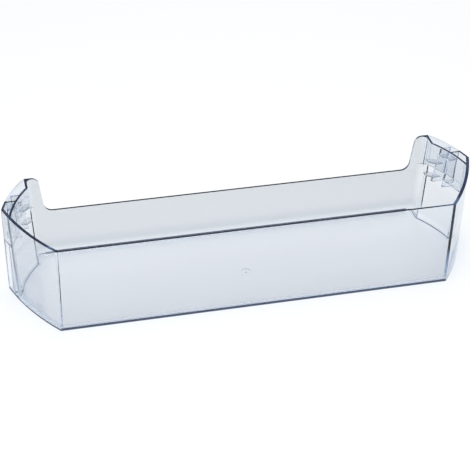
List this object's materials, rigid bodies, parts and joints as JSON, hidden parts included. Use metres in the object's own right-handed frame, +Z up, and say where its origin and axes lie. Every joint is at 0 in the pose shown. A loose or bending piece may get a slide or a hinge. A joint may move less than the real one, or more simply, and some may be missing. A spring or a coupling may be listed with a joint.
{
  "type": "fridge door shelf",
  "caption": "Clear plastic tray that hangs inside a fridge door, with a level rim, bowed corner walls, a low back with raised ears and a hollow hanger block at each end.",
  "frame": {"origin": "centre of the bounding box in plan, on the underside of the floor", "axes": "+X along the shelf, +Y towards the fridge door, +Z up"},
  "size_m": [0.4884, 0.1326, 0.097],
  "materials": {
    "clear_plastic": "clear, gloss"
  },
  "bodies": {
    "root": {"door_shelf": "clear_plastic"}
  },
  "joints": []
}
